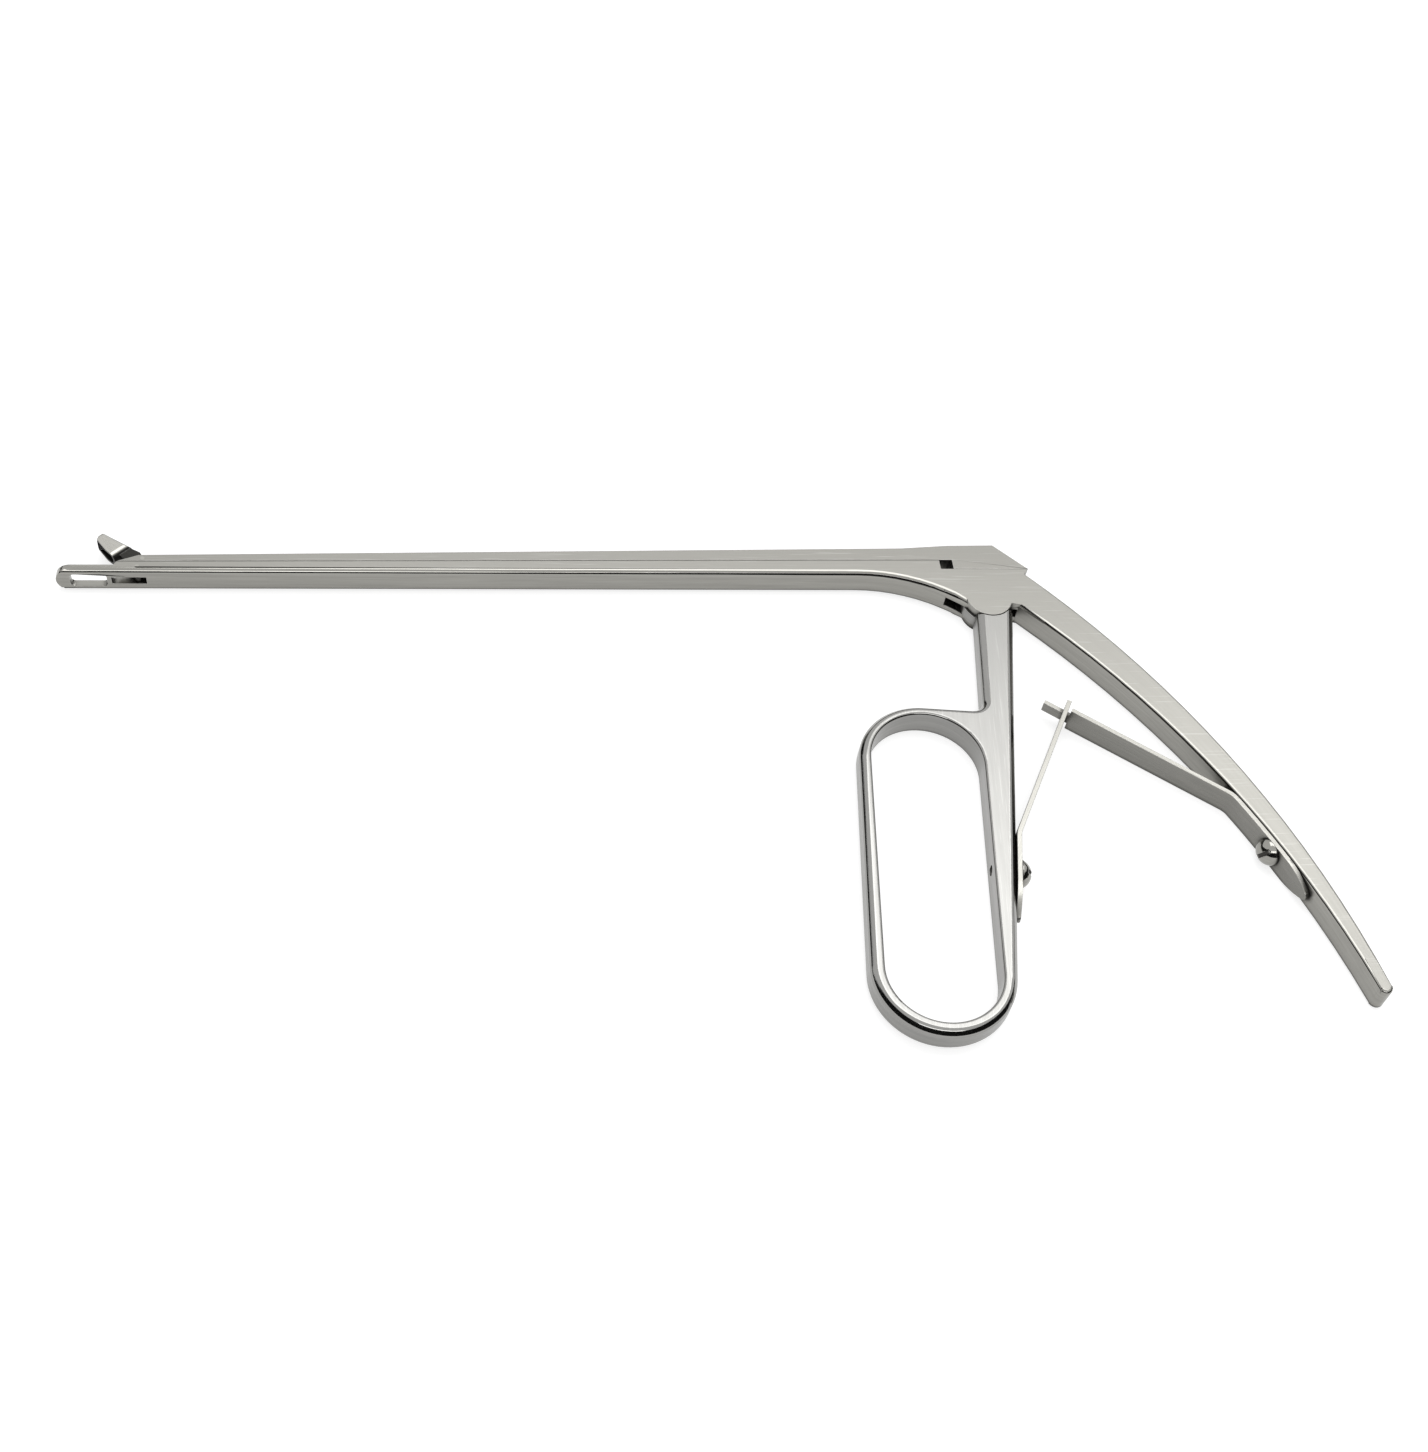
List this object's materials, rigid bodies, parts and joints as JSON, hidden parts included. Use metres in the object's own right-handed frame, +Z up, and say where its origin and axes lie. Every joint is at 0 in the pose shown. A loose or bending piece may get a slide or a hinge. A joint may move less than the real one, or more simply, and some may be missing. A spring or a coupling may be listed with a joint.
{
  "type": "cervical biopsy forceps",
  "caption": "Long punch biopsy forceps with a sliding shaft, cupped upper jaw over a window-shaped lower jaw, finger ring handle and crossed leaf springs.",
  "frame": {"origin": "axis of the handle pivot, on the lower side face that the instrument lies on", "axes": "+Z up through the plate thickness, away from the surface it lies on; the shaft runs to the jaws along -X; the handles hang towards -Y and the upper jaw opens towards +Y"},
  "size_m": [0.266, 0.1284, 0.0064],
  "materials": {
    "frame_steel": "satin brushed stainless steel",
    "slide_steel": "satin brushed stainless steel",
    "jaw_steel": "satin brushed stainless steel",
    "ring_steel": "satin brushed stainless steel",
    "pin_steel": "satin brushed stainless steel",
    "screw_steel": "satin brushed stainless steel",
    "spring_steel": "satin brushed stainless steel"
  },
  "bodies": {
    "frame": {"fixed_shaft": "frame_steel", "jaw_hinge_pin": "pin_steel", "handle_pivot_screw": "screw_steel", "rear_spring_foot": "spring_steel", "rear_spring_screw": "screw_steel"},
    "slide": {"sliding_shaft": "slide_steel", "jaw_drive_pin": "pin_steel"},
    "jaw": {"upper_jaw": "jaw_steel"},
    "handle": {"ring_handle": "ring_steel", "front_spring_foot": "spring_steel", "front_spring_screw": "screw_steel"},
    "rear_blade": {"rear_spring_blade": "spring_steel"},
    "front_blade": {"front_spring_blade": "spring_steel"}
  },
  "joints": [
    {"name": "handle_pivot", "type": "hinge", "parent": "frame", "child": "handle", "pos_m": [0, 0, 0], "axis": [0, 0, 1], "range_deg": [0, 12], "stiffness_Nm_per_rad": 0.8, "springref_deg": -5.73},
    {"name": "shaft_slide", "type": "slide", "parent": "frame", "child": "slide", "axis": [-1, 0, 0], "range_m": [0, 0.00195]},
    {"name": "jaw_hinge", "type": "hinge", "parent": "frame", "child": "jaw", "pos_m": [-0.1856, 0.00825, 0], "axis": [0, 0, 1], "range_deg": [0, 46]},
    {"name": "rear_spring_flex", "type": "hinge", "parent": "frame", "child": "rear_blade", "pos_m": [0.04357, -0.05574, 0], "axis": [0, 0, 1], "range_deg": [-7.2, 0]},
    {"name": "front_spring_flex", "type": "hinge", "parent": "handle", "child": "front_blade", "pos_m": [-0.00545, -0.06395, 0], "axis": [0, 0, 1], "range_deg": [0, 4.8]}
  ],
  "couplings": [
    {"joint": "shaft_slide", "follows": "handle_pivot", "m_per_rad": 0.00931},
    {"joint": "jaw_hinge", "follows": "handle_pivot", "ratio": 3.8333},
    {"joint": "rear_spring_flex", "follows": "handle_pivot", "ratio": -0.6},
    {"joint": "front_spring_flex", "follows": "handle_pivot", "ratio": 0.4}
  ]
}
